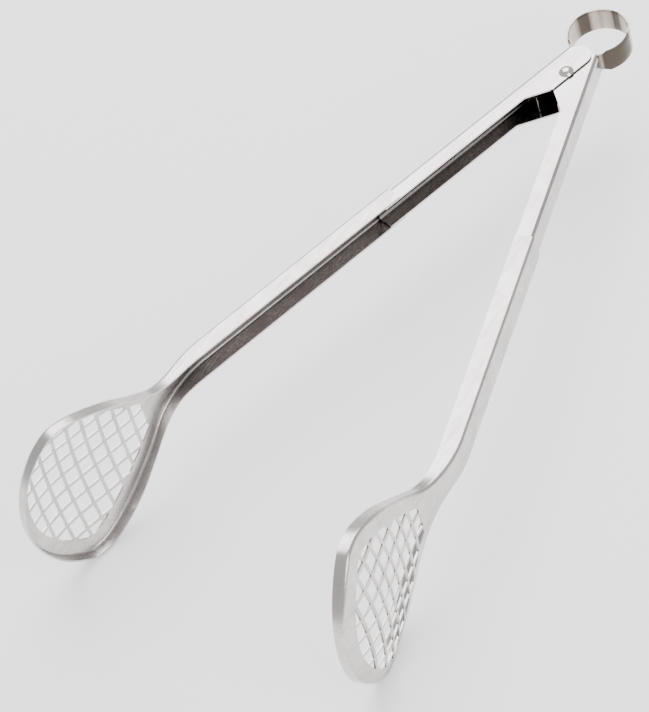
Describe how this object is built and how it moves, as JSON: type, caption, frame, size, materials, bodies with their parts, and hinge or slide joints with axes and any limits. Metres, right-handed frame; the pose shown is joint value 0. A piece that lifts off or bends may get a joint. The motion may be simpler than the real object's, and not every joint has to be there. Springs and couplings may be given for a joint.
{
  "type": "spring loaded kitchen tongs",
  "caption": "Kitchen tongs: sheet-steel channel arms with perforated dished heads, turning on a rivet and held open by an omega-shaped strip spring.",
  "frame": {"origin": "centre of the spring's ring, at half its height", "axes": "+Z along the pivot rivet towards its domed head, -Y towards the heads, +X towards the right arm"},
  "size_m": [0.1356, 0.2861, 0.0654],
  "materials": {
    "handle_steel": "polished",
    "head_steel": "polished",
    "spring_strip": "satin",
    "rivet_steel": "polished"
  },
  "bodies": {
    "right_arm": {"right_handle": "handle_steel", "right_head": "head_steel", "omega_spring": "spring_strip", "pivot_rivet": "rivet_steel", "pivot_spacer": "rivet_steel"},
    "left_arm": {"left_handle": "handle_steel", "left_head": "head_steel"}
  },
  "joints": [
    {"name": "pivot", "type": "hinge", "parent": "right_arm", "child": "left_arm", "pos_m": [0, -0.0224, 0], "axis": [0, 0, 1], "range_deg": [0, 27.8], "stiffness_Nm_per_rad": 0.8, "springref_deg": -11.46, "deforming": ["omega_spring"]}
  ]
}
